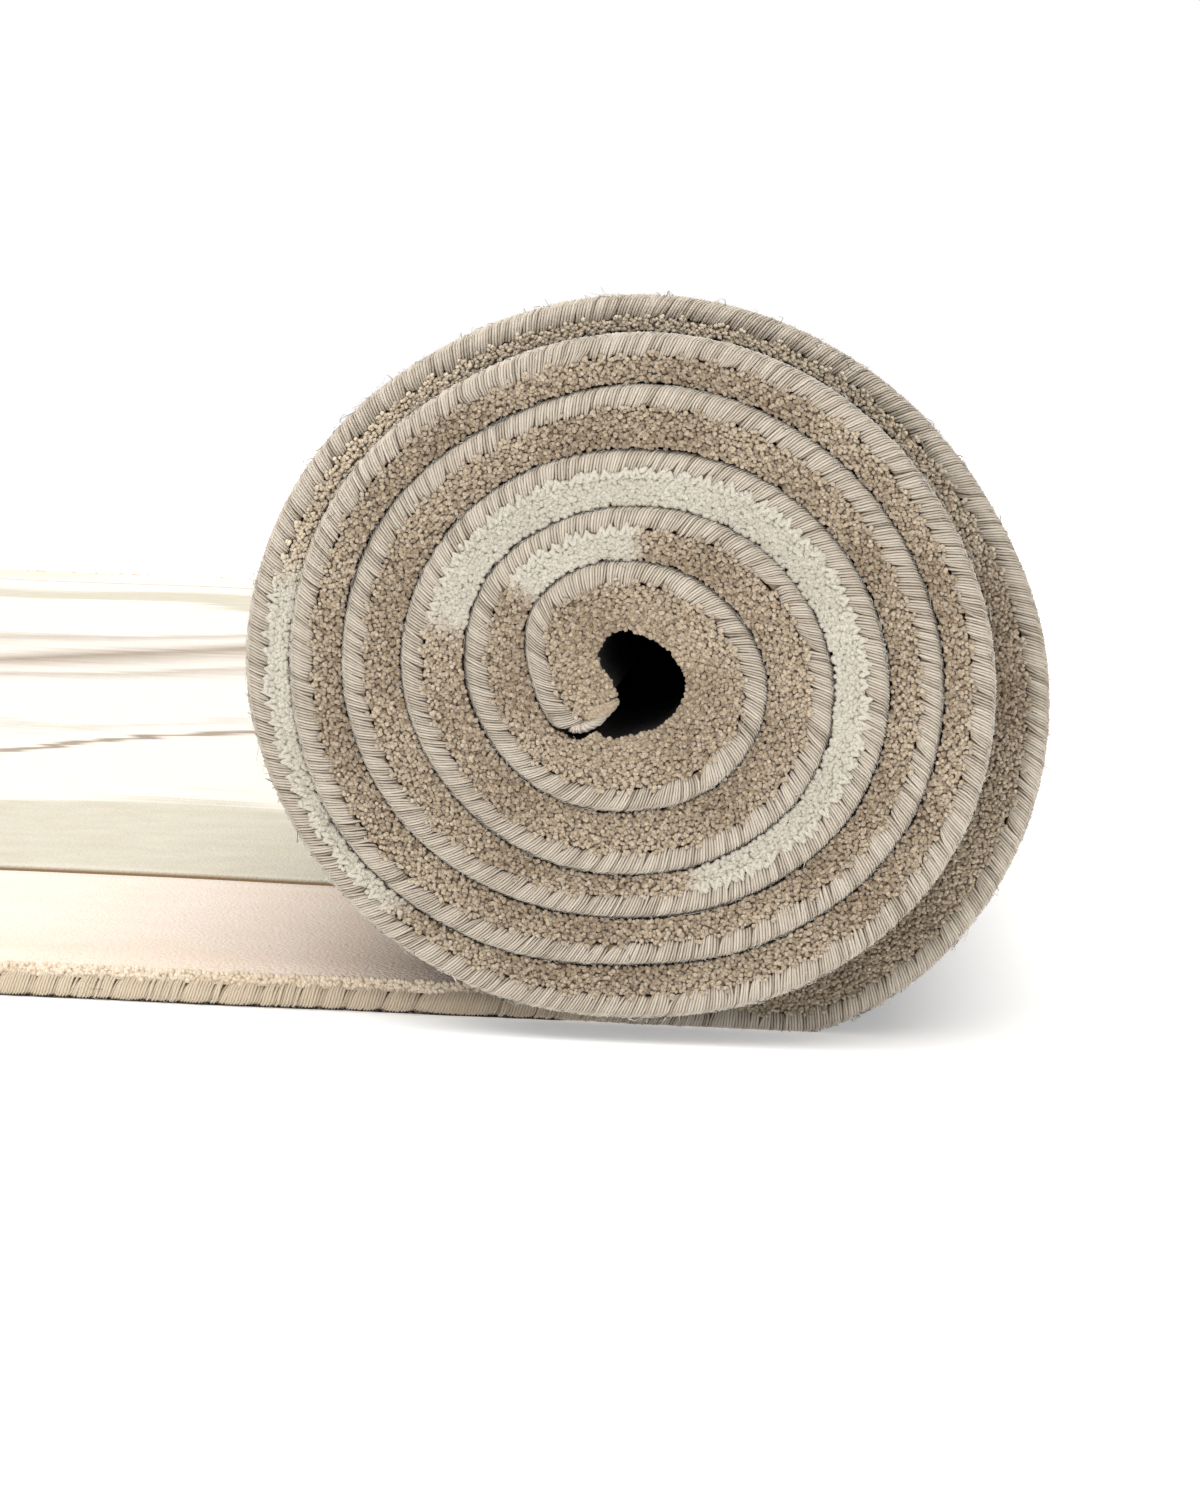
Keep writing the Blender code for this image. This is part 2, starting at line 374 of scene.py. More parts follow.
def add(tree, kind, links=None, inputs=None, **settings):
    """Adds a node with its settings, its unlinked inputs' values and its links from other sockets."""
    node = tree.nodes.new(kind)
    for name, value in settings.items():
        setattr(node, name, value)
    for name, value in (inputs or {}).items():
        node.inputs[name].default_value = value
    for name, socket in (links or {}).items():
        tree.links.new(socket, node.inputs[name])
    return node


def matt_material(name, roughness, sheen):
    """A matt material, its tree and its shader; sheen is the soft edge light of loose fibres."""
    material = bpy.data.materials.new(name)
    material.use_nodes = True
    tree = material.node_tree
    shader = tree.nodes["Principled BSDF"]
    shader.inputs["Roughness"].default_value = roughness
    shader.inputs["Specular IOR Level"].default_value = 0.2
    shader.inputs["Sheen Weight"].default_value = sheen
    shader.inputs["Sheen Roughness"].default_value = 0.5
    return material, tree, shader


def mix_colours(tree, share, first, second, blend="MIX"):
    """A colour mix node; share, first and second are sockets, numbers or colours."""
    node = add(tree, "ShaderNodeMix", data_type="RGBA", blend_type=blend)
    for index, value in ((0, share), (6, first), (7, second)):
        if isinstance(value, bpy.types.NodeSocket):
            tree.links.new(value, node.inputs[index])
        else:
            node.inputs[index].default_value = value
    return node.outputs[2]


def bumped(tree, shader, height, distance, strength):
    """Raises the shader's surface by a height socket."""
    bump = add(tree, "ShaderNodeBump", {"Height": height}, {"Distance": distance, "Strength": strength})
    tree.links.new(bump.outputs["Normal"], shader.inputs["Normal"])


def attribute(tree, name):
    return add(tree, "ShaderNodeAttribute", attribute_name=name).outputs["Fac"]


def wool_yarn_material(colours):
    """Two-ply wool yarn, spun and oversewn: matt, each strand its own shade, fine fibres along it, with
    painted shade between strands and where they dive into the pile, painted light on the loose end.
    """
    material, tree, shader = matt_material("wool_yarn_spun_oversewn", 0.95, 0.3)
    tone = attribute(tree, "tone")
    place = add(tree, "ShaderNodeTexCoord").outputs["Object"]
    fine = {"Scale": 2600.0, "Detail": 3.0}
    fibre = add(tree, "ShaderNodeTexNoise", {"Vector": place}, fine).outputs["Fac"]
    patch = add(tree, "ShaderNodeTexNoise", {"Vector": place}, {"Scale": 28.0, "Detail": 2.0}).outputs["Fac"]
    plies = mix_colours(tree, tone, colours.yarn_dark, colours.yarn_light)
    plies.node.clamp_factor = False  # painted light: the loose end's strands are lighter still
    # Painted shade: a tone below zero turns the strand's sides to the dark colour of the valleys between
    # strands.
    valley = add(tree, "ShaderNodeMath", {0: tone}, {1: -1.3}, operation="MULTIPLY", use_clamp=True)
    # Painted light: the loose end's yarn, lit more from above, takes a paler, yellowish tint.
    sunny = mix_colours(tree, attribute(tree, "warm"), linear("#ffffff"), colours.yarn_painted_light_tint)
    lit = mix_colours(tree, 1.0, plies, sunny, "MULTIPLY")
    base = mix_colours(tree, valley.outputs[0], lit, colours.yarn_valley_shade)
    worn = mix_colours(tree, patch, base, colours.yarn_worn)
    worn_less = mix_colours(tree, 0.35, base, worn)
    # Painted shade: strands turn brown where they dive into the pile.
    tip = attribute(tree, "tip")
    shaded = mix_colours(tree, tip, worn_less, colours.yarn_tip_shade)
    flecked = mix_colours(tree, 0.16, shaded, fibre, "OVERLAY")
    tree.links.new(flecked, shader.inputs["Base Color"])
    bumped(tree, shader, fibre, 0.25 * MM, 0.7)
    return material


def wool_tuft_material(colours):
    """Cut wool pile seen from its side: matt, soft, each tuft its own shade, with painted shade towards the
    next turn and between clumps, painted light on the clumps and the outer turn.
    """
    material, tree, shader = matt_material("wool_tufts_cut", 1.0, 0.35)
    tone, cream = attribute(tree, "tone"), attribute(tree, "cream")
    brown = mix_colours(tree, tone, colours.tuft_dark, colours.tuft_light)
    brown.node.clamp_factor = False  # painted light: the outer turn's pile is lighter still
    pale = mix_colours(tree, tone, colours.cream_dark, colours.cream_light)
    rosy = mix_colours(tree, tone, colours.warm_dark, colours.warm_light)
    both = mix_colours(tree, attribute(tree, "warm"), mix_colours(tree, cream, brown, pale), rosy)
    place = add(tree, "ShaderNodeTexCoord").outputs["Object"]
    fine = {"Scale": 3200.0, "Detail": 3.0}
    fibre = add(tree, "ShaderNodeTexNoise", {"Vector": place}, fine).outputs["Fac"]
    flecked = mix_colours(tree, 0.25, both, fibre, "OVERLAY")
    tree.links.new(flecked, shader.inputs["Base Color"])
    bumped(tree, shader, fibre, 0.25 * MM, 0.8)
    return material


# The field's wavy stripes: distance from the front edge in metres, and the name of its colour setting.
STRIPES = (
    (0.000, "blush"), (0.020, "blush"), (0.045, "ivory"), (0.155, "ivory"), (0.175, "greige"),
    (0.330, "greige"), (0.352, "ivory"), (0.600, "ivory"), (0.606, "stroke"), (0.618, "stroke"),
    (0.626, "ivory"), (0.662, "ivory"), (0.668, "mist"), (0.676, "ivory"), (0.860, "ivory"),
    (0.930, "mist"), (0.960, "ivory"), (1.020, "mist"), (1.060, "stroke"), (1.085, "mist"),
    (1.150, "ivory"), (1.220, "mist"), (1.260, "ivory"), (1.560, "ivory"), (1.580, "greige"),
    (1.700, "greige"), (1.760, "ivory"), (1.955, "ivory"), (1.980, "blush"), (2.000, "blush"),
)


def wool_pile_material(colours):
    """Cut wool pile seen from above: felt-like, in soft wavy stripes, with a carved brown line round them."""
    material, tree, shader = matt_material("wool_pile_cut_carved", 1.0, 0.06)
    flat = add(tree, "ShaderNodeUVMap", uv_map="flat").outputs["UV"]
    split = add(tree, "ShaderNodeSeparateXYZ", {"Vector": flat})
    stretched = add(tree, "ShaderNodeMapping", {"Vector": flat}, {"Scale": (5.0, 3.0, 1.0)}).outputs["Vector"]
    smooth = {"Scale": 1.0, "Detail": 0.5}
    sway = add(tree, "ShaderNodeTexNoise", {"Vector": stretched}, smooth).outputs["Fac"]
    swing = add(tree, "ShaderNodeMath", {0: sway}, {1: 0.5}, operation="SUBTRACT").outputs[0]
    limits = {"From Min": 0.17, "From Max": 0.3, "To Max": 0.42}
    freedom = add(tree, "ShaderNodeMapRange", {"Value": split.outputs["Y"]}, limits).outputs["Result"]
    off = {0: swing, 1: freedom, 2: split.outputs["Y"]}
    swayed = add(tree, "ShaderNodeMath", off, operation="MULTIPLY_ADD")
    brush = add(tree, "ShaderNodeMapping", {"Vector": flat}, {"Scale": (2.5, 60.0, 1.0)}).outputs["Vector"]
    hairs = add(tree, "ShaderNodeTexNoise", {"Vector": brush}, {"Scale": 1.0, "Detail": 2.0}).outputs["Fac"]
    drag = add(tree, "ShaderNodeMath", {0: hairs}, {1: 0.5}, operation="SUBTRACT").outputs[0]
    far_off = {0: drag, 2: swayed.outputs[0]}
    far_off[1] = add(tree, "ShaderNodeMath", {0: freedom}, {1: 0.16}, operation="MULTIPLY").outputs[0]
    moved = add(tree, "ShaderNodeMath", far_off, operation="MULTIPLY_ADD")
    place = add(tree, "ShaderNodeMath", {0: moved.outputs[0]}, {1: WIDTH}, operation="DIVIDE")
    ramp = add(tree, "ShaderNodeValToRGB", {"Fac": place.outputs[0]})
    stops = ramp.color_ramp.elements
    while len(stops) < len(STRIPES):
        stops.new(1.0)
    for stop, (inset, name) in zip(stops, STRIPES):
        stop.position = inset / WIDTH
        stop.color = getattr(colours, name)
    stripes = ramp.outputs["Color"]
    coarse = add(tree, "ShaderNodeTexNoise", {"Vector": flat}, {"Scale": 55.0, "Detail": 3.0}).outputs["Fac"]
    # Painted shade near the roll: a pinkish grey for the roll's shade and the warmer light bounced there.
    shaded = mix_colours(tree, attribute(tree, "rosy"), stripes, colours.rosy)
    brushed = mix_colours(tree, 0.16, shaded, coarse, "OVERLAY")
    tufts = add(tree, "ShaderNodeTexVoronoi", {"Vector": flat}, {"Scale": 1000.0})
    tuft = tufts.outputs["Distance"]
    flecked = mix_colours(tree, 0.10, brushed, tufts.outputs["Color"], "SOFT_LIGHT")
    in_line = {"From Max": 0.2}
    line = add(tree, "ShaderNodeMapRange", {"Value": attribute(tree, "carved")}, in_line).outputs["Result"]
    carved = mix_colours(tree, line, flecked, colours.carved)
    edged = mix_colours(tree, attribute(tree, "brown"), carved, colours.tuft_dark)
    # Painted shade: the pile deep in the hole is near black.
    deep = mix_colours(tree, attribute(tree, "deep"), edged, colours.hole_shade)
    tree.links.new(deep, shader.inputs["Base Color"])
    low = add(tree, "ShaderNodeMath", {0: tuft}, {1: -1.0}, operation="MULTIPLY").outputs[0]
    rough = add(tree, "ShaderNodeMath", {0: coarse, 2: low}, {1: 0.9}, operation="MULTIPLY_ADD").outputs[0]
    bumped(tree, shader, rough, 0.8 * MM, 0.45)
    return material


def cotton_cloth_material(colours):
    """Dark cotton backing, plain woven and glued on: matt charcoal, pale flecks of size in its weave."""
    material, tree, shader = matt_material("cotton_cloth_woven_glued", 0.9, 0.15)
    flat = add(tree, "ShaderNodeUVMap", uv_map="flat").outputs["UV"]
    threads = 2 * math.pi / (1.6 * MM) / 20  # a wave texture repeats every pi/10 of its scale
    waves = []
    for direction in ("X", "Y"):
        inputs = {"Scale": threads, "Distortion": 0.6, "Detail": 1.0}
        wave = add(tree, "ShaderNodeTexWave", {"Vector": flat}, inputs, bands_direction=direction)
        waves.append(wave.outputs["Fac"])
    weave = add(tree, "ShaderNodeMath", {0: waves[0], 1: waves[1]}, operation="MULTIPLY").outputs[0]
    fleck = add(tree, "ShaderNodeTexNoise", {"Vector": flat}, {"Scale": 420.0, "Detail": 4.0}).outputs["Fac"]
    cloud = add(tree, "ShaderNodeTexNoise", {"Vector": flat}, {"Scale": 6.0, "Detail": 3.0}).outputs["Fac"]
    dyed = mix_colours(tree, weave, colours.cotton_dark, colours.cotton_light)
    faded = mix_colours(tree, 0.3, dyed, cloud, "OVERLAY")
    flecked = mix_colours(tree, 0.35, faded, fleck, "OVERLAY")
    tree.links.new(flecked, shader.inputs["Base Color"])
    bumped(tree, shader, weave, 0.4 * MM, 0.8)
    return material


def lint_material(colours):
    """Loose wool and cotton fibres: thin, matt, from charcoal to white."""
    material, tree, shader = matt_material("wool_and_cotton_lint", 0.9, 0.2)
    tone = attribute(tree, "tone")
    mixed = mix_colours(tree, tone, colours.lint_dark, colours.lint_light)
    tree.links.new(mixed, shader.inputs["Base Color"])
    return material


def floor_material(colours):
    """Smooth white emulsion paint on a studio floor: matt, with the faintest unevenness of its roller."""
    material, tree, shader = matt_material("emulsion_paint_rolled", 0.9, 0.0)
    place = add(tree, "ShaderNodeTexCoord").outputs["Object"]
    cloud = add(tree, "ShaderNodeTexNoise", {"Vector": place}, {"Scale": 40.0}).outputs["Fac"]
    paint = mix_colours(tree, cloud, colours.floor, linear("#f4f4f3"))
    tree.links.new(paint, shader.inputs["Base Color"])
    shader.inputs["Emission Color"].default_value = linear("#ffffff")
    shader.inputs["Emission Strength"].default_value = 0.35
    return material


# ---------------------------------------------------------------- the user's sizes and colours


def spacing(name, description, default):
    """A setting for the distance between strands or tufts."""
    limits = {"min": 0.2 * MM, "max": 20 * MM}
    return bpy.props.FloatProperty(
        name=name, description=description, default=default, unit="LENGTH", precision=5, **limits
    )


def colour(name, description, default):
    """A colour setting, whose default is an sRGB hex colour."""
    return bpy.props.FloatVectorProperty(
        name=name, description=description, default=linear(default), size=4, min=0, max=1, subtype="COLOR"
    )


class CarpetSizes(bpy.types.PropertyGroup):
    strand_pitch: spacing("Strand Pitch", "Distance between two strands of the front edge's yarn", 0.74 * MM)
    rear_pitch: spacing("Rear Pitch", "Distance between two strands of the rear edge's yarn", 2.1 * MM)
    end_pitch: spacing("End Pitch", "Distance between two strands across the sheet's ends", 2.1 * MM)
    tuft_pitch: spacing("Tuft Pitch", "Distance between two tufts of the front edge", 0.86 * MM)
    rear_tuft_pitch: spacing("Rear Tuft Pitch", "Distance between two tufts of the rear edge", 2.4 * MM)
    lint_count: bpy.props.IntProperty(
        name="Lint", description="Number of loose fibres along the front edge", default=5200, min=0, max=8000
    )


class CarpetColours(bpy.types.PropertyGroup):
    yarn_light: colour("Light Yarn", "Colour of the lightest strands", "#e3dbcf")
    yarn_dark: colour("Dark Yarn", "Colour of the darkest strands", "#bfb4a5")
    # Painted light: the tint of the loose end's yarn, which the light from above falls on.
    yarn_painted_light_tint: colour("Warm Yarn", "Tint of the loose end's yarn", "#fff6e8")
    # Painted shade deep between two strands.
    yarn_valley_shade: colour("Yarn Valley", "Colour deep between two strands", "#5d5040")
    yarn_worn: colour("Worn Yarn", "Colour of handled patches of yarn", "#b9ad9c")
    # Painted shade where a strand dives into the pile.
    yarn_tip_shade: colour("Yarn Tip", "Colour where a strand dives into the pile", "#8d7a63")
    tuft_light: colour("Light Tufts", "Colour of the lightest beige tufts", "#c8b8a1")
    tuft_dark: colour("Dark Tufts", "Colour of the darkest beige tufts", "#8f7b63")
    cream_light: colour("Light Cream", "Colour of the lightest cream tufts", "#d0cbbe")
    cream_dark: colour("Dark Cream", "Colour of the darkest cream tufts", "#bcb6a8")
    warm_light: colour("Light Warm", "Colour of the lightest tufts of the loose end", "#f3e6d4")
    warm_dark: colour("Dark Warm", "Colour of the darkest tufts of the loose end", "#dcc8ae")
    ivory: colour("Ivory", "Colour of the ivory stripes", "#e9e4da")
    blush: colour("Blush", "Colour of the pile along the edges", "#ebdcca")
    # Painted shade near the roll: a pinkish grey for the roll's shade and the warmer light bounced there.
    rosy: colour("Rosy", "Colour of the pile that is pressed close to the roll", "#e6d3c3")
    greige: colour("Greige", "Colour of the greige stripes", "#cbc5b4")
    stroke: colour("Stroke", "Colour of the thin stripes", "#a29384")
    mist: colour("Mist", "Colour of the broad pale stripe", "#c3b9ae")
    carved: colour("Carved Line", "Colour inside the carved line", "#7d6446")
    # Painted shade deep in the hole, where little light reaches.
    hole_shade: colour("Hollow", "Colour of the crushed pile deep in the hole", "#120f0c")
    cotton_light: colour("Light Cotton", "Colour of the backing's raised threads", "#5c5a58")
    cotton_dark: colour("Dark Cotton", "Colour between the backing's threads", "#1d1c1c")
    lint_light: colour("Light Lint", "Colour of the lightest loose fibres", "#efe9df")
    lint_dark: colour("Dark Lint", "Colour of the darkest loose fibres", "#2a2827")
    floor: colour("Floor", "Colour of the studio floor", "#efeeec")


# ---------------------------------------------------------------- the pieces


def strand_path(height, lift, share, loose):
    """A strand's way round the edge: inset and depth at shares of its length, for each strand."""
    steps = np.linspace(0, 1, len(STRAND_RISE))
    pressed = np.interp(share, steps, PRESSED_INSET) * MM
    free = np.interp(share, steps, FREE_INSET) * MM
    rise = np.interp(share, steps, STRAND_RISE)
    inset = pressed[None] + loose[:, None] * (free - pressed)[None]
    depth = lift[:, None] + (height - lift)[:, None] * rise[None]
    return inset, depth


def strands(rng, bar, middle, pitch, height, loose):
    """Bars bent round an edge: along the edge, inset and depth of their points, and their tones and tip
    shade.

    The strands lie in bundles. Middle, height and loose have an entry for each strand, and loose is 1 on the
    loose end.
    """
    count = len(middle)
    rings = bar[:, 2]
    shares = np.unique(np.round(rings, 4))
    ring = np.searchsorted(shares, np.round(rings, 4))
    bundle = np.cumsum(np.concatenate([[0], (rng.uniform(0, 1, count - 1) < 1 / BUNDLE)]))
    first = np.searchsorted(bundle, bundle, side="left")
    size_of = np.searchsorted(bundle, bundle, side="right") - first
    in_bundle = (np.arange(count) - first + 0.5) / size_of  # 0 to 1 across a bundle
    bundle_noise = rng.normal(0, 1, (bundle[-1] + 1, 3))[bundle]
    crown = 1 - (2 * in_bundle - 1) ** 2  # 1 in a bundle's middle, 0 at its sides
    # Where the strands run: each has its own reach into the pile, and a bundle's middle stands out.
    reach = 0.95 + 0.1 * crown + 0.05 * bundle_noise[:, 0] + rng.normal(0, 0.035, count) + 0.08 * loose
    lift = BACK_LIFT + (LOOSE_LIFT - BACK_LIFT) * loose
    inset, depth = strand_path(height * np.clip(reach, 0.82, 1.2), lift, shares, loose)
    slope_inset, slope_depth = np.gradient(inset, axis=1), np.gradient(depth, axis=1)
    length = np.hypot(slope_inset, slope_depth)
    taper = np.interp(shares, *STRAND_TAPER)[ring][None]
    parting = np.interp(rings, [0.3, 0.75], [0.1, 0.42])[None]  # bundles part towards the pile
    swell = rng.uniform(0.82, 1.15, count)[:, None] * (1 + parting * (crown - 0.9)[:, None])
    bulge = (0.22 + 1.1 * loose) * crown * STRAND_BULGE
    lift_off = bar[:, 1][None] * taper * swell * 1.9 * pitch + bulge[:, None] * np.sin(math.pi * rings)[None]
    near = inset[:, ring] - (slope_depth / length)[:, ring] * lift_off
    deep = depth[:, ring] + (slope_inset / length)[:, ring] * lift_off
    # How they slant: all lean one way, drift a little, and gather at the pile's end of each bundle.
    drift = np.sin(np.arange(count) * 0.083) + 0.7 * np.sin(np.arange(count) * 0.031 + 2)
    lean = LEAN + 0.5 * drift + 0.1 * bundle_noise[:, 1] + rng.normal(0, 0.35, count)
    gather = -(in_bundle - 0.5) * size_of * (0.42 + 0.15 * bundle_noise[:, 2])
    sag = 0.5 * np.sin(math.pi * rings)[None] * (0.6 + 0.15 * bundle_noise[:, :1])
    course = lean[:, None] * (rings[None] - 0.5) + gather[:, None] * rings[None] ** 7 + sag
    along = middle[:, None] + (bar[:, 0][None] * 1.1 * taper + course) * pitch
    # Their shades: each strand its own, with painted shade in the valleys between two and at each bundle's
    # sides, painted light on the loose end, and brown painted shade where it dives into the pile.
    shade_of = rng.normal(0.58, 0.26, count) + (0.3 + 0.8 * loose) * (crown - 0.6) + 0.5 * loose
    valley = (1.15 - 0.45 * loose)[:, None] * in_shaded_valley(bar)
    tone = np.clip(shade_of, 0, 1)[:, None] * np.ones(len(bar)) - valley
    brown = ((1.3 - 0.6 * crown) * (1 - 0.6 * loose))[:, None]
    tip = np.clip(np.interp(rings, *STRAND_TIP_SHADE)[None] * brown, 0, 1)
    return along, near, deep, tone, tip


def in_shaded_valley(bar):
    """True for a bar's points that lie beside it, where it meets the next strand and takes painted shade."""
    return (np.abs(bar[:, 0]) > 0.25)[None]


def side_by_side(first, last, pitch):
    """Middles of the strands or tufts that fill a stretch."""
    count = int((last - first) / pitch)
    return first + (np.arange(count) + 0.5) * (last - first) / count


def sewn_part(bar, faces, points, tone, tip, loose):
    """One part of a yarn piece: its points and faces, and each point's tone, tip shade and warmth, the loose
    end's painted light.
    """
    points[..., 2] = np.maximum(points[..., 2], ON_FLOOR)
    warm = loose[:, None] * np.ones(len(bar))
    all_faces = repeated(faces, len(bar), len(loose))
    return points.reshape(-1, 3), all_faces, tone.ravel(), tip.ravel(), warm.ravel()


def oversewn_edge(name, material, pitch, cuts, along_from, along_to, inset_of, seed):
    """Strands of yarn side by side round one edge; inset_of turns a strand's own inset into the sheet's."""
    rng = np.random.RandomState(seed)
    bar, faces = bar_shape(STRAND_SIDES, cuts)
    middle = side_by_side(along_from, along_to, pitch)
    loose = np.interp(middle, [ROLL_START - 0.02, ROLL_START], [1.0, 0.0])
    height = binding_height(middle) * (1 + 0.2 * loose)
    along, near, deep, tone, tip = strands(rng, bar, middle, pitch, height, loose)
    points = on_sheet(np.clip(along, 0, SHEET_END + 1.5 * MM), inset_of(near), deep)
    stations = np.linspace(along_from, along_to, max(int((along_to - along_from) / CORE_STEP), 2))
    core, core_faces = edge_core(stations, inset_of)
    parts = [sewn_part(bar, faces, points, tone, tip, loose)]
    # The core takes the darkest painted shade, as it shows only in the gaps between strands.
    parts.append((core, core_faces, np.full(len(core), -0.7), np.full(len(core), 0.8), np.zeros(len(core))))
    if inset_of is same_inset:
        parts.append(tongue_fan(rng, bar, faces, pitch))
    return joined(name, material, parts)


def joined(title, material, parts):
    """One yarn piece from several parts as sewn_part makes them."""
    starts = np.cumsum([0] + [len(part[0]) for part in parts[:-1]])
    points = np.concatenate([part[0] for part in parts])
    faces = np.concatenate([part[1] + start for part, start in zip(parts, starts)])
    names = ("tone", "tip", "warm")
    values = {name: np.concatenate([part[2 + k] for part in parts]) for k, name in enumerate(names)}
    piece = mesh_piece(title, points, faces, material, values)
    face_out(piece)
    return piece


def tongue_fan(rng, bar, faces, pitch):
    """Strands that fan round the sheet's inner end, where the edge turns the corner into the hole."""
    turn = np.arange(FAN_START, FAN_ANGLE, pitch / FAN_RADIUS)
    count = len(turn)
    share = bar[:, 2][None]
    reach = FAN_RADIUS * (0.25 + 0.75 * share) + rng.normal(0, 0.15, (count, 1)) * MM
    angle = turn[:, None] + bar[:, 0][None] * pitch / FAN_RADIUS * 1.3 + 0.25 * (share - 0.5)
    along = SHEET_END + np.sin(angle) * reach - 0.3 * MM
    depth = FAN_DEPTH - np.cos(angle) * reach
    bulge = 0.4 + 5.72 * np.abs(share - 0.42) ** 1.6  # in mm: the strands curve back at both ends
    inset = bulge * MM - bar[:, 1][None] * pitch * 1.1
    # Painted shade in the valleys between the fan's strands, and brown painted shade where they dive into the
    # pile.
    tone = np.clip(rng.normal(0.6, 0.2, count), 0, 1)[:, None] - 0.9 * in_shaded_valley(bar)
    tip = np.clip(0.9 - 3.0 * share, 0, 1) * np.ones((count, 1))
    return sewn_part(bar, faces, on_sheet(along, inset, depth), tone, tip, np.zeros(count))


def edge_core(stations, inset_of):
    """The canvas edge that the strands go round: a closed four-sided bar along the sheet."""
    high = binding_height(stations)
    even = np.ones_like(high)
    depth = np.stack([0.3 * MM * even, 0.9 * MM * even, high * 0.88, high * 0.9], axis=-1)
    inset = even[:, None] * np.array([4.8, 0.75, 0.75, 4.6])[None] * MM
    along = stations[:, None] * np.ones(4)
    points = on_sheet(along, inset_of(inset), depth).reshape(-1, 3)
    last = (len(stations) - 1) * 4
    caps = np.array([[3, 2, 1, 0], [last, last + 1, last + 2, last + 3]])
    return points, np.concatenate([tube_faces(len(stations), 4), caps])


def end_edge(name, material, pitch, end_along, outwards, seed):
    """Strands of yarn side by side across one end of the sheet."""
    rng = np.random.RandomState(seed)
    bar, faces = bar_shape(STRAND_SIDES, END_CUTS)
    middle = side_by_side(BINDING_WIDTH + GAP, WIDTH - BINDING_WIDTH - GAP, pitch)
    height = binding_height(np.full(len(middle), end_along))
    loose = np.full(len(middle), 0.0 if outwards > 0 else 1.0)
    across, near, deep, tone, tip = strands(rng, bar, middle, pitch, height, loose)
    points = past_end(end_along, outwards, near, across, deep)
    return joined(name, material, [sewn_part(bar, faces, points, tone, tip, loose)])


def past_end(end_along, outwards, inset, across, depth):
    """Points by their inset from one end of the sheet; the sheet itself has no stations past that end."""
    along = end_along - outwards * inset
    inside = np.clip(along, 0, SHEET_END)
    points = on_sheet(inside, across, np.maximum(depth, ON_FLOOR))
    ahead = on_sheet(np.clip(inside + MM, 0, SHEET_END), across, depth)
    behind = on_sheet(np.clip(inside - MM, 0, SHEET_END), across, depth)
    return points + unit(ahead - behind) * (along - inside)[..., None]


def edge_tufts(name, material, pitch, along_from, along_to, inset_of, seed):
    """Tuft tips that fill the pile's side above the yarn, rows of them from the yarn to the next turn."""
    rng = np.random.RandomState(seed)
    drop, faces = drop_shape()
    per_row = int((along_to - along_from) / pitch)
    row = np.repeat(np.arange(MOST_ROWS), per_row)
    along = along_from + (np.tile(np.arange(per_row), MOST_ROWS) + 0.5 * (row % 2)) * pitch
    along = along + rng.normal(0, 0.28, along.shape) * pitch
    yarn, high = binding_height(along), np.where(along < ROLL_START - 0.03, LOOSE_EDGE, thickness(along))
    depth = yarn + (row - 1.4) * pitch * 0.88 + rng.normal(0, 0.26, along.shape) * pitch
    clump = clumps(along, depth)
    # The brim is the tufts' ragged lower limit: clumps reach over the yarn, less so on the loose end.
    brim = yarn + 0.1 * MM - CLUMP_REACH * np.clip(wave(along, 6.1, 23.0) + 0.35 * clump, 0, 1)
    brim = brim + (0.15 * yarn + 0.6 * (yarn - brim)) * (along < ROLL_START)
    keep = (depth > brim) & (depth < high + 0.1 * pitch) & (along > along_from) & (along < along_to)
    along, depth, yarn, high, clump = (column[keep] for column in (along, depth, yarn, high, clump))
    cream = cream_share(along)
    share = np.clip((depth - yarn) / np.maximum(high - yarn, MM), 0, 1)  # 0 at the yarn, 1 at the next turn
    over = np.clip((yarn + 0.5 * MM - depth) / (1.3 * MM), 0, 1)  # 1 for tufts that lie over the yarn
    inset = (0.50 + (0.6 - 0.25 * cream) * share**2 - 0.85 * over - 0.32 * clump * (1 - 0.75 * cream)) * MM
    inset = inset + rng.normal(0, 0.15, len(along)) * MM * (1 - 0.6 * cream)
    wide = pitch * rng.uniform(0.58, 0.78, len(along)) * (1 + 0.35 * cream)
    tall = pitch * rng.uniform(0.5, 0.75, len(along))
    tilt = 0.25 - 0.6 * over + 0.14 * rng.normal(0, 1, len(along))
    patch = 0.12 * np.sin(along * 2 * math.pi / 0.083) + 0.08 * np.sin(along * 2 * math.pi / 0.031 + 1)
    # Painted shade and light: tufts deep towards the next turn are darker, clumps lighter and the tufts
    # between them darker.
    tone = np.clip(rng.normal(0.55, 0.17, len(along)) + patch + 0.26 * clump - 0.3 * share, 0, 1)
    wound = np.interp(along, ALONG, COLUMNS["wound"])
    # Painted light on the outer turn's pile, which lies in shade behind the next turn.
    tone = tone + OUTER_PILE_PAINTED_LIGHT * np.interp(wound, [100, 150, 255, 290], [0, 1, 1, 0])
    sets = [(along, inset, depth, wide, tall, tilt, tone)]
    if inset_of is same_inset:
        sets.append(teeth(rng, along_from, along_to))
        if along_to > SHEET_END - 2 * MM:
            sets.append(tongue_tufts(rng, pitch))
    columns = [np.concatenate(column) for column in zip(*sets)]
    return drops(name, material, drop, faces, inset_of, rng, *columns)


def wave(along, length, drift):
    """A wandering wave along the sheet; length and drift are in mm."""
    return np.sin(along * 2 * math.pi / (length * MM) + 2.2 * np.sin(along * 2 * math.pi / (drift * MM)))


def clumps(along, depth):
    """1 in the middle of a clump of tufts that lean together, -1 between clumps."""
    first = wave(along + 0.3 * depth, 3.9, 17.0) * np.cos(depth * 2 * math.pi / (4.3 * MM) + 90 * along)
    return np.clip(first + 0.5 * wave(along - depth, 2.3, 11.0), -1, 1)


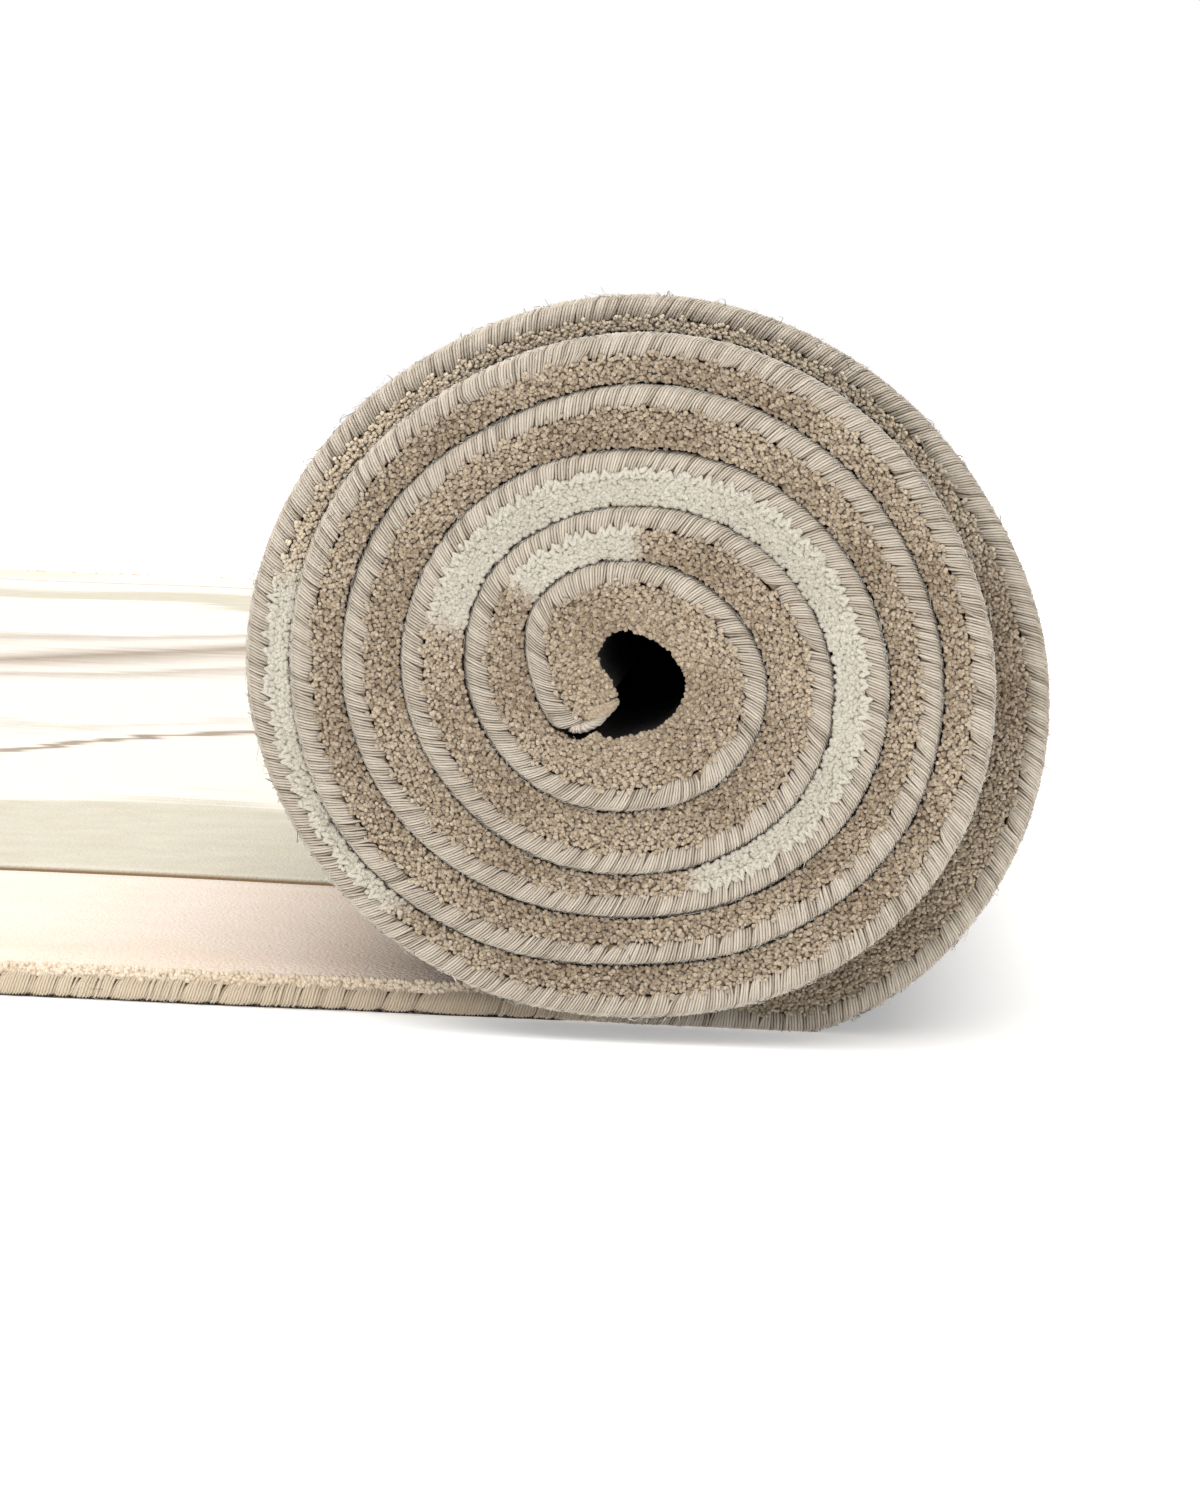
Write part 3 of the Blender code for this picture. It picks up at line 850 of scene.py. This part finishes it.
def teeth(rng, along_from, along_to):
    """Cream tufts combed out over the yarn between two bundles, in ragged teeth."""
    rows = []
    at = along_from
    while at < along_to:
        at += rng.uniform(0.6, 1.5) * TOOTH_PITCH
        if at < ROLL_START or cream_share(np.array([at]))[0] < 0.5:
            continue
        top = float(binding_height(at))
        reach = rng.uniform(0.4, 1.7) * MM
        slant = rng.normal(0.5, 0.5)
        for part in np.linspace(0, 1, 5):
            for side in (-0.5, 0.5):
                place = at - slant * reach * part + side * (1 - part) * TOOTH_WIDTH
                deep = top + 0.7 * MM - (reach + 0.7 * MM) * part
                wide = (0.8 - 0.22 * part) * rng.uniform(0.85, 1.15) * MM
                near = (0.25 - 0.35 * part) * MM
                rows.append((place, near, deep, wide, 0.9 * MM, -0.9, rng.uniform(0.5, 1.0)))
    return list(np.array(rows).reshape(-1, 7).T)


def tongue_tufts(rng, pitch):
    """Tufts that round off the pile over the sheet's inner end."""
    count = TONGUE_TUFTS
    turn = rng.uniform(0, 2 * math.pi, count)
    reach = np.sqrt(rng.uniform(0, 1, count))
    along = SHEET_END + 1.2 * MM + 4.2 * MM * reach * np.cos(turn)
    depth = 9.6 * MM + 4.2 * MM * reach * np.sin(turn)
    inset = 0.5 * MM + 2.0 * MM * reach**3 + rng.normal(0, 0.12, count) * MM
    wide, tall, tilt = (np.full(count, value) for value in (pitch * 0.66, pitch * 0.9, 0.2))
    return [along, inset, depth, wide, tall, tilt, rng.uniform(0.3, 0.9, count)]


def drops(name, material, drop, faces, inset_of, rng, along, inset, depth, wide, tall, tilt, tone):
    """Tuft tips as one piece: each points out of the edge, tilted towards the next turn.

    The arrays have an entry for each tuft; tilt is how far its tip lies deeper than its middle, in mm.
    """
    count = len(along)
    cream = cream_share(along)
    warm = (along < ROLL_START).astype(float)
    centre = on_sheet(along, inset_of(inset), depth)
    tip = on_sheet(along, inset_of(inset - 0.9 * MM), depth + tilt * MM)
    side = on_sheet(along + 0.4 * MM, inset_of(inset), depth)
    up = unit(tip - centre)
    sideways = side - centre + rng.normal(0, 0.1, (count, 3)) * MM
    sideways = unit(sideways - up * np.sum(sideways * up, axis=1, keepdims=True))
    points = centre[:, None]
    for k, (course, reach) in enumerate(((sideways, wide), (np.cross(up, sideways), wide), (up, tall))):
        points = points + course[:, None] * (drop[None, :, k : k + 1] * reach[:, None, None])
    points[..., 2] = np.maximum(points[..., 2], ON_FLOOR)
    ones = np.ones((count, len(drop)))
    columns = {"tone": tone, "cream": cream, "warm": warm}
    values = {label: column[:, None] * ones for label, column in columns.items()}
    return mesh_piece(name, points.reshape(-1, 3), repeated(faces, len(drop), count), material, values)


def carved_share(along, inset):
    """1 in the middle of the carved line, 0 away from it."""
    from_side = np.minimum(inset, WIDTH - inset) - LINE_INSET
    from_end = np.minimum(along, SHEET_END - along) - END_LINE_INSET
    outside = np.minimum(from_side, from_end)
    return np.clip(1 - np.abs(outside) / LINE_HALF_WIDTH, 0, 1)


def side_lines():
    """Insets of the pile's lines from edge to middle, closer at the edge and at the carved line."""
    near = [2.4, 5.0, 9.0, 14.0, 24.0, 42.0, 70.0, 105.0, 138.0]
    line = [LINE_INSET / MM + k * LINE_HALF_WIDTH / MM for k in LINE_STATIONS]
    half = np.array(near + line) * MM
    middle = np.linspace(0.2, WIDTH - 0.2, 16)
    return np.concatenate([half, middle, WIDTH - half[::-1]])


def pile_sheet(material):
    """Pile and canvas, one closed sheet from the outer to the inner end."""
    ends = 5.5 * MM
    extra = [END_LINE_INSET + k * LINE_HALF_WIDTH for k in LINE_STATIONS]
    inner = ALONG[(ALONG > ends) & (ALONG < SHEET_END - ends)]
    along = np.unique(np.round(np.concatenate([[ends], inner, extra, [SHEET_END - ends]]), 5))
    insets = side_lines()
    thick, high = thickness(along), binding_height(along)
    grid_along, grid_inset = np.meshgrid(along, insets, indexing="ij")
    carved = carved_share(grid_along, grid_inset)
    free = np.clip((thick - 8 * MM) / (2 * MM), 0, 1) * (along < ROLL_START)
    sway = (
        np.sin(grid_inset * 2 * math.pi / 0.31 + 2.0 * np.sin(grid_along * 7))
        + 0.7 * np.sin(grid_along * 2 * math.pi / 0.19 + grid_inset * 9)
    )
    depth = thick[:, None] + free[:, None] * (0.35 * sway - 0.2) * MM - 0.1 * MM - LINE_DEPTH * carved**0.8
    from_edge = np.minimum(grid_inset, WIDTH - grid_inset)
    slope = np.where(free > 0, FREE_THICKNESS - LOOSE_EDGE, 0.2 * MM)[:, None]
    depth = depth - slope * np.clip((14 * MM - from_edge) / (12 * MM), 0, 1) ** 2
    depth = np.maximum(depth, high[:, None] + 0.4 * MM)
    step = high + 0.1 * MM
    even = np.ones_like(step)
    wall = (1.1 - 0.55 * cream_share(along)) * MM
    columns = [(5.2 * MM * even, 1.1 * MM * even), (5.2 * MM * even, step), (wall, step)]
    columns.append((wall + 0.35 * MM, (step + depth[:, 0]) / 2))
    front_inset = np.stack([inset for inset, _ in columns], axis=-1)
    front_depth = np.stack([level for _, level in columns], axis=-1)
    rear_inset, rear_depth = WIDTH - front_inset[:, ::-1], front_depth[:, ::-1]
    all_inset = np.concatenate([front_inset, grid_inset, rear_inset], axis=1)
    all_depth = np.concatenate([front_depth, depth, rear_depth], axis=1)
    none = np.zeros_like(front_inset)
    all_carved = np.concatenate([none, carved, none], axis=1)
    # Painted shade: the pile deep in the hole, away from the front edge, is painted near black.
    hole_shade_share = (grid_along > HOLE_ALONG) * np.clip((from_edge - 2 * MM) / (3 * MM), 0, 1)
    all_hole_shade = np.concatenate([none, hole_shade_share, none], axis=1)
    edge = np.concatenate([none + 1, np.clip((12 * MM - from_edge) / (8 * MM), 0, 1), none + 1], axis=1)
    brown = edge * ((1 - cream_share(along)) * (along > ROLL_START))[:, None]
    # Painted shade near the roll, in the border band: a pinkish grey for the roll's shade and the warmer
    # light bounced there.
    near_roll = np.interp(along, [ROLL_START - 0.26, ROLL_START - 0.06], [0, 1])
    rosy = near_roll[:, None] * (all_inset < LINE_INSET)
    values = {"carved": all_carved, "deep": all_hole_shade, "brown": brown, "rosy": rosy}
    return closed_sheet("carpet_pile", along, all_inset, all_depth, material, values)


def end_caps(rows, around):
    """Quads that close a many-sided tube's two ends, from one side to the other."""
    k = np.arange(around // 2 - 1)
    near = np.stack([k, k + 1, around - 2 - k, around - 1 - k], axis=-1)
    return np.concatenate([near[:, ::-1], near + (rows - 1) * around])


def add_flat_map(piece, along, inset):
    """A map whose units are metres on the flat carpet."""
    corners = np.empty(len(piece.data.loops), dtype=np.int32)
    piece.data.loops.foreach_get("vertex_index", corners)
    layer = piece.data.uv_layers.new(name="flat")
    places = np.stack([along[corners], inset[corners]], axis=-1).astype(np.float32)
    layer.data.foreach_set("uv", places.ravel())


def closed_sheet(name, along, inset, depth, material, values=None):
    """A closed sheet with its flat map; inset and depth have a row of points round it for each station."""
    rows, around = inset.shape
    all_along = along[:, None] * np.ones(around)
    points = on_sheet(all_along, inset, depth)
    faces = np.concatenate([tube_faces(rows, around), end_caps(rows, around)])
    piece = mesh_piece(name, points.reshape(-1, 3), faces, material, values)
    add_flat_map(piece, all_along.ravel(), inset.ravel())
    face_out(piece)
    return piece


def backing_cloth(material):
    """The cloth glued over the back, out to just under the yarn, its edge a little frayed."""
    rng = np.random.RandomState(31)
    loose = np.arange(6 * MM, ROLL_START, 2.5 * MM)
    along = np.unique(np.round(np.concatenate([loose, ALONG[ALONG > ROLL_START]]), 5))
    along = along[along < SHEET_END - 6 * MM]
    low = 0.05 * MM
    reach = np.interp(along, [ROLL_START - 0.02, ROLL_START], [1.1, 4.9])[:, None]
    ragged = (reach + rng.normal(0, 0.16, (len(along), 1))) * MM
    lines = np.concatenate([[BINDING_WIDTH], np.linspace(0.05, WIDTH - 0.05, 5), [WIDTH - BINDING_WIDTH]])
    inset = np.ones((len(along), 1)) * lines[None]
    inset[:, 0:1] = ragged
    inset[:, -1:] = WIDTH - ragged
    all_inset = np.concatenate([inset, inset[:, ::-1]], axis=1)
    upper = np.where(np.minimum(inset, WIDTH - inset) < 4 * MM, 0.62 * MM, BACKING)
    all_depth = np.concatenate([upper, np.full_like(inset, low)], axis=1)
    return closed_sheet("backing_cloth", along, all_inset, all_depth, material)


def loose_fibres(name, material, count, seed):
    """Lint: grey fluff along the gaps between the turns, and paler hairs out of the yarn and the pile."""
    rng = np.random.RandomState(seed)
    bar, faces = bar_shape(4, 1)
    along = rng.uniform(0.02, SHEET_END - 0.02, count)
    kind = rng.uniform(0, 1, count)
    in_gap, on_pile = kind < LINT_IN_GAPS, kind > 1 - LINT_ON_PILE
    on_roll = along > ROLL_START
    in_gap = in_gap & on_roll
    depth = np.where(in_gap, rng.normal(0.1, 0.35, count), rng.uniform(0.3, 5.0, count)) * MM
    depth = np.where(on_pile, thickness(along) * rng.uniform(0.5, 1.0, count), depth)
    outermost = on_roll & (along < ROLL_START + 0.6)
    on_outline = outermost & ~on_pile & (rng.uniform(0, 1, count) < LINT_ON_OUTLINE)
    depth = np.where(on_outline, rng.uniform(-0.5, 0.3, count) * MM, depth)
    start = np.where(in_gap, rng.uniform(0.3, 1.5, count), rng.uniform(0.0, 0.5, count)) * MM
    root = on_sheet(along, start, depth)
    stray = rng.uniform(0, 1, count) < LINT_STRAY
    length = rng.gamma(4.0, 0.4, count) * MM * np.where(stray, 3.0, 1.0)
    reach_along = rng.normal(0, 0.8, count) * length
    reach_in = np.where(in_gap, rng.uniform(-0.5, 0.2, count), rng.uniform(-0.9, -0.3, count)) * length
    reach_deep = rng.normal(0, np.where(in_gap, 0.3, 0.6), count) * length
    end = on_sheet(np.clip(along + reach_along, 0, SHEET_END), start + reach_in, depth + reach_deep)
    bend = rng.normal(0, 0.3, (count, 3)) * length[:, None]
    share = bar[None, :, 2:3]
    line = root[:, None] * (1 - share) + end[:, None] * share + bend[:, None] * 4 * share * (1 - share)
    thin = np.where(in_gap, rng.uniform(0.14, 0.26, count), rng.uniform(0.08, 0.13, count))[:, None] * MM
    flat_side = bar[None, :, [0, 0, 1]] * np.array([1, 0, 1]) * thin[..., None]
    points = line + flat_side * (1.15 - share)
    points[..., 2] = np.maximum(points[..., 2], 0.05 * MM)
    tone = np.where(in_gap, rng.uniform(0.15, 0.75, count), rng.uniform(0.6, 1.0, count))
    tone = np.where(on_outline, rng.uniform(0.75, 1.0, count), tone)
    tone = np.where(stray, 0.0, tone)
    values = {"tone": tone[:, None] * np.ones(len(bar))}
    return mesh_piece(name, points.reshape(-1, 3), repeated(faces, len(bar), count), material, values)


def same_inset(inset):
    return inset


def from_rear(inset):
    return WIDTH - inset


MATERIALS = {}


def settle(piece, slot, *nodes):
    """Rides the piece on the carpet and lets it stand for its solids; slot is not used."""
    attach(piece, "root")
    if nodes:
        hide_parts(*nodes)
    return piece


class CARPET_OT_long_bindings(bpy.types.Operator):
    """Oversews the two long edges, which are the two ends of the roll"""

    bl_idname = "carpet.long_bindings"
    bl_label = "Long Bindings"
    bl_options = {"REGISTER", "UNDO"}

    def execute(self, context):
        sizes = context.scene.carpet_sizes
        colours = context.scene.carpet_colours
        MATERIALS["yarn"] = yarn = wool_yarn_material(colours)
        span = (0.3 * MM, SHEET_END - 0.3 * MM)
        front = oversewn_edge("yarn_front", yarn, sizes.strand_pitch, FRONT_CUTS, *span, same_inset, 11)
        rear = oversewn_edge("yarn_rear", yarn, sizes.rear_pitch, END_CUTS, *span, from_rear, 12)
        settle(front, "binding", "binding_front")
        settle(rear, "binding", "binding_rear")
        return {"FINISHED"}


class CARPET_OT_end_bindings(bpy.types.Operator):
    """Oversews the edges across the two ends of the sheet"""

    bl_idname = "carpet.end_bindings"
    bl_label = "End Bindings"
    bl_options = {"REGISTER", "UNDO"}

    def execute(self, context):
        sizes = context.scene.carpet_sizes
        yarn = MATERIALS["yarn"]
        outer = end_edge("yarn_outer_end", yarn, sizes.end_pitch, 0.3 * MM, -1, 13)
        inner = end_edge("yarn_inner_end", yarn, sizes.end_pitch, SHEET_END - 0.3 * MM, 1, 14)
        settle(outer, "binding", "binding_outer")
        settle(inner, "binding", "binding_inner")
        return {"FINISHED"}


class CARPET_OT_edge_tufts(bpy.types.Operator):
    """Sets the tuft tips that show between the yarn and the next turn"""

    bl_idname = "carpet.edge_tufts"
    bl_label = "Edge Tufts"
    bl_options = {"REGISTER", "UNDO"}

    def execute(self, context):
        sizes = context.scene.carpet_sizes
        colours = context.scene.carpet_colours
        tufts = wool_tuft_material(colours)
        cuts = (MM, *(share * SHEET_END for share in TUFT_PIECES), SHEET_END - MM)
        names = ("tufts_front_outer", "tufts_front_middle", "tufts_front_inner")
        for seed, (name, *span) in enumerate(zip(names, cuts, cuts[1:])):
            settle(edge_tufts(name, tufts, sizes.tuft_pitch, *span, same_inset, 20 + seed), "pile")
        rear = (MM, SHEET_END - MM)
        settle(edge_tufts("tufts_rear", tufts, sizes.rear_tuft_pitch, *rear, from_rear, 22), "pile")
        return {"FINISHED"}


class CARPET_OT_lint(bpy.types.Operator):
    """Adds loose fibres along the front edge"""

    bl_idname = "carpet.lint"
    bl_label = "Lint"
    bl_options = {"REGISTER", "UNDO"}

    def execute(self, context):
        sizes = context.scene.carpet_sizes
        colours = context.scene.carpet_colours
        lint = lint_material(colours)
        settle(loose_fibres("lint_front", lint, sizes.lint_count, 41), "pile")
        return {"FINISHED"}


class CARPET_OT_pile(bpy.types.Operator):
    """Makes the sheet of pile and canvas"""

    bl_idname = "carpet.pile"
    bl_label = "Pile"
    bl_options = {"REGISTER", "UNDO"}

    def execute(self, context):
        colours = context.scene.carpet_colours
        piece = settle(pile_sheet(wool_pile_material(colours)), "pile", "carpet")
        return {"FINISHED"}


class CARPET_OT_backing(bpy.types.Operator):
    """Glues the cloth on the back"""

    bl_idname = "carpet.backing"
    bl_label = "Backing"
    bl_options = {"REGISTER", "UNDO"}

    def execute(self, context):
        colours = context.scene.carpet_colours
        piece = settle(backing_cloth(cotton_cloth_material(colours)), "backing", "backing")
        return {"FINISHED"}


# The camera, seen from the roll's axis at the front plane of the carpet.
CAMERA_ASIDE = 41.8 * MM
CAMERA_AWAY = 865.2 * MM
CAMERA_HEIGHT = 151.1 * MM
CAMERA_YAW = 3.348  # degrees to the left
CAMERA_PITCH = 5.277  # degrees down
CAMERA_ROLL = 2.088  # degrees
LENS = 87.04  # mm, on a sensor 36 mm high


def add_camera():
    yaw, pitch, roll = (math.radians(a) for a in (CAMERA_YAW, CAMERA_PITCH, CAMERA_ROLL))
    ahead = Vector((-math.sin(yaw) * math.cos(pitch), math.cos(yaw) * math.cos(pitch), -math.sin(pitch)))
    level = Vector((math.cos(yaw), math.sin(yaw), 0))
    above = level.cross(ahead)
    right = math.cos(roll) * level + math.sin(roll) * above
    up = -math.sin(roll) * level + math.cos(roll) * above
    data = bpy.data.cameras.new("camera")
    data.sensor_fit = "VERTICAL"
    data.sensor_height = 36
    data.lens = LENS
    data.clip_start = 0.01
    camera = bpy.data.objects.new("camera", data)
    turn = Matrix((right, up, -ahead)).transposed().to_4x4()
    turn.translation = (CENTRE + CAMERA_ASIDE, FRONT - CAMERA_AWAY, CAMERA_HEIGHT)
    camera.matrix_world = turn
    bpy.context.scene.collection.objects.link(camera)
    bpy.context.scene.camera = camera


def add_lights():
    """A broad soft light from above, a weaker one from the front, and white paper that lights little."""
    softboxes = (("softbox_above", 3.85, 95, 2, -10), ("softbox_front", 0.85, 60, 68, 0))
    for name, strength, spread, tip, roll in softboxes:
        light = bpy.data.lights.new(name, "SUN")
        light.energy = strength
        light.angle = math.radians(spread)
        light.color = (1.0, 0.985, 0.96)
        lamp = bpy.data.objects.new(name, light)
        lamp.rotation_euler = (math.radians(tip), math.radians(roll), 0)
        bpy.context.scene.collection.objects.link(lamp)
    world = bpy.data.worlds.new("white_paper")
    bpy.context.scene.world = world
    world.use_nodes = True
    tree = world.node_tree
    dim = tree.nodes["Background"]
    dim.inputs["Color"].default_value = (1.0, 1.0, 1.0, 1.0)
    dim.inputs["Strength"].default_value = 0.25
    seen = add(tree, "ShaderNodeBackground", None, {"Color": (1.0, 1.0, 1.0, 1.0), "Strength": 1.0})
    path = add(tree, "ShaderNodeLightPath")
    links = {0: path.outputs["Is Camera Ray"], 1: dim.outputs[0], 2: seen.outputs[0]}
    both = add(tree, "ShaderNodeMixShader", links)
    tree.links.new(both.outputs[0], tree.nodes["World Output"].inputs["Surface"])


class CARPET_OT_studio(bpy.types.Operator):
    """Lays the floor and sets the lights and the camera"""

    bl_idname = "carpet.studio"
    bl_label = "Studio"
    bl_options = {"REGISTER", "UNDO"}

    def execute(self, context):
        colours = context.scene.carpet_colours
        deselect()
        bpy.ops.mesh.primitive_plane_add(size=60)
        floor = bpy.context.active_object
        floor.name = "floor"
        floor.data.materials.append(floor_material(colours))
        add_lights()
        add_camera()
        bpy.context.scene.view_settings.view_transform = "Standard"
        return {"FINISHED"}


class VIEW3D_PT_carpet(bpy.types.Panel):
    """The carpet's sizes, colours and steps"""

    bl_label = "Rolled Up Carpet"
    bl_space_type = "VIEW_3D"
    bl_region_type = "UI"
    bl_category = "Carpet"

    def draw(self, context):
        for group in (context.scene.carpet_sizes, context.scene.carpet_colours):
            for name in group.bl_rna.properties.keys():
                if name not in ("rna_type", "name"):
                    self.layout.prop(group, name)
        for step in STEPS:
            self.layout.operator(step.bl_idname)


GROUPS = (CarpetSizes, CarpetColours)
STEPS = (
    CARPET_OT_studio,
    CARPET_OT_long_bindings,
    CARPET_OT_end_bindings,
    CARPET_OT_edge_tufts,
    CARPET_OT_lint,
    CARPET_OT_backing,
    CARPET_OT_pile,
)


def register():
    for cls in (*GROUPS, *STEPS, VIEW3D_PT_carpet):
        bpy.utils.register_class(cls)
    bpy.types.Scene.carpet_sizes = bpy.props.PointerProperty(type=CarpetSizes)
    bpy.types.Scene.carpet_colours = bpy.props.PointerProperty(type=CarpetColours)


def unregister():
    del bpy.types.Scene.carpet_colours
    del bpy.types.Scene.carpet_sizes
    for cls in reversed((*GROUPS, *STEPS, VIEW3D_PT_carpet)):
        bpy.utils.unregister_class(cls)


def main():
    register()
    bpy.ops.carpet.studio()
    bpy.ops.carpet.long_bindings()
    bpy.ops.carpet.end_bindings()
    bpy.ops.carpet.edge_tufts()
    bpy.ops.carpet.lint()
    bpy.ops.carpet.backing()
    bpy.ops.carpet.pile()


if __name__ == "__main__":
    main()
